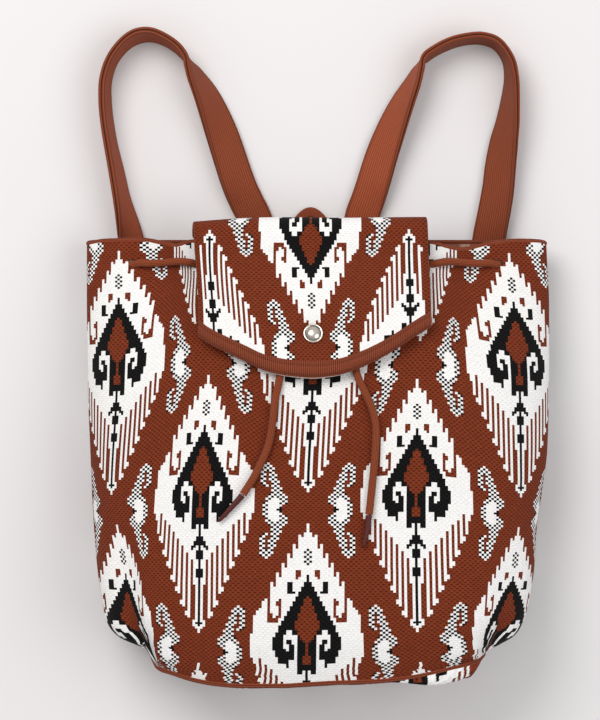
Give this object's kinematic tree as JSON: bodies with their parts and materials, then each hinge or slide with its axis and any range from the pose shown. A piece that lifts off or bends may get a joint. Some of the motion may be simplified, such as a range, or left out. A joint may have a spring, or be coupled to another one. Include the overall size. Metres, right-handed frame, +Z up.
{
  "type": "knitted drawstring bag with flap",
  "caption": "Soft knitted drawstring bag worn on the shoulders, with a snap-down flap, shoulder straps and a hanging loop, lying on its back.",
  "frame": {"origin": "centre of the bag's bounding box on the surface that it lies on, straps included and the two free cord ends left out", "axes": "+X across the bag, +Y from the base towards the strap loops, +Z up from the surface, out of the front panel"},
  "size_m": [0.3302, 0.4694, 0.1093],
  "materials": {
    "knit": "matt jacquard knit in rust, off-white and near-black",
    "base_knit": "matt jacquard knit",
    "flap_knit": "matt jacquard knit",
    "facing": "pale matt cloth",
    "rib": "ribbed knit",
    "webbing": "fine woven webbing",
    "cord": "tubular knit cord",
    "tip": "dark, slightly glossy",
    "metal": "pale warm polished metal"
  },
  "bodies": {
    "bag": {"body_shell": "knit", "base_panel": "base_knit", "hanging_loop": "rib", "strap_left": "webbing", "strap_right": "webbing", "snap_stud": "metal", "snap_post": "metal", "drawstring": "cord", "drawstring_left_end": "cord", "drawstring_right_end": "cord", "cord_tip_left": "tip", "cord_tip_right": "tip"},
    "flap": {"flap_outer": "flap_knit", "flap_lining": "facing", "flap_binding": "rib", "snap_cap": "metal", "snap_socket": "metal"}
  },
  "joints": [
    {"name": "flap_hinge", "type": "hinge", "parent": "bag", "child": "flap", "pos_m": [0.00059, 0.08542, 0.0063], "axis": [-1, 0, 0], "range_deg": [0, 60]}
  ]
}
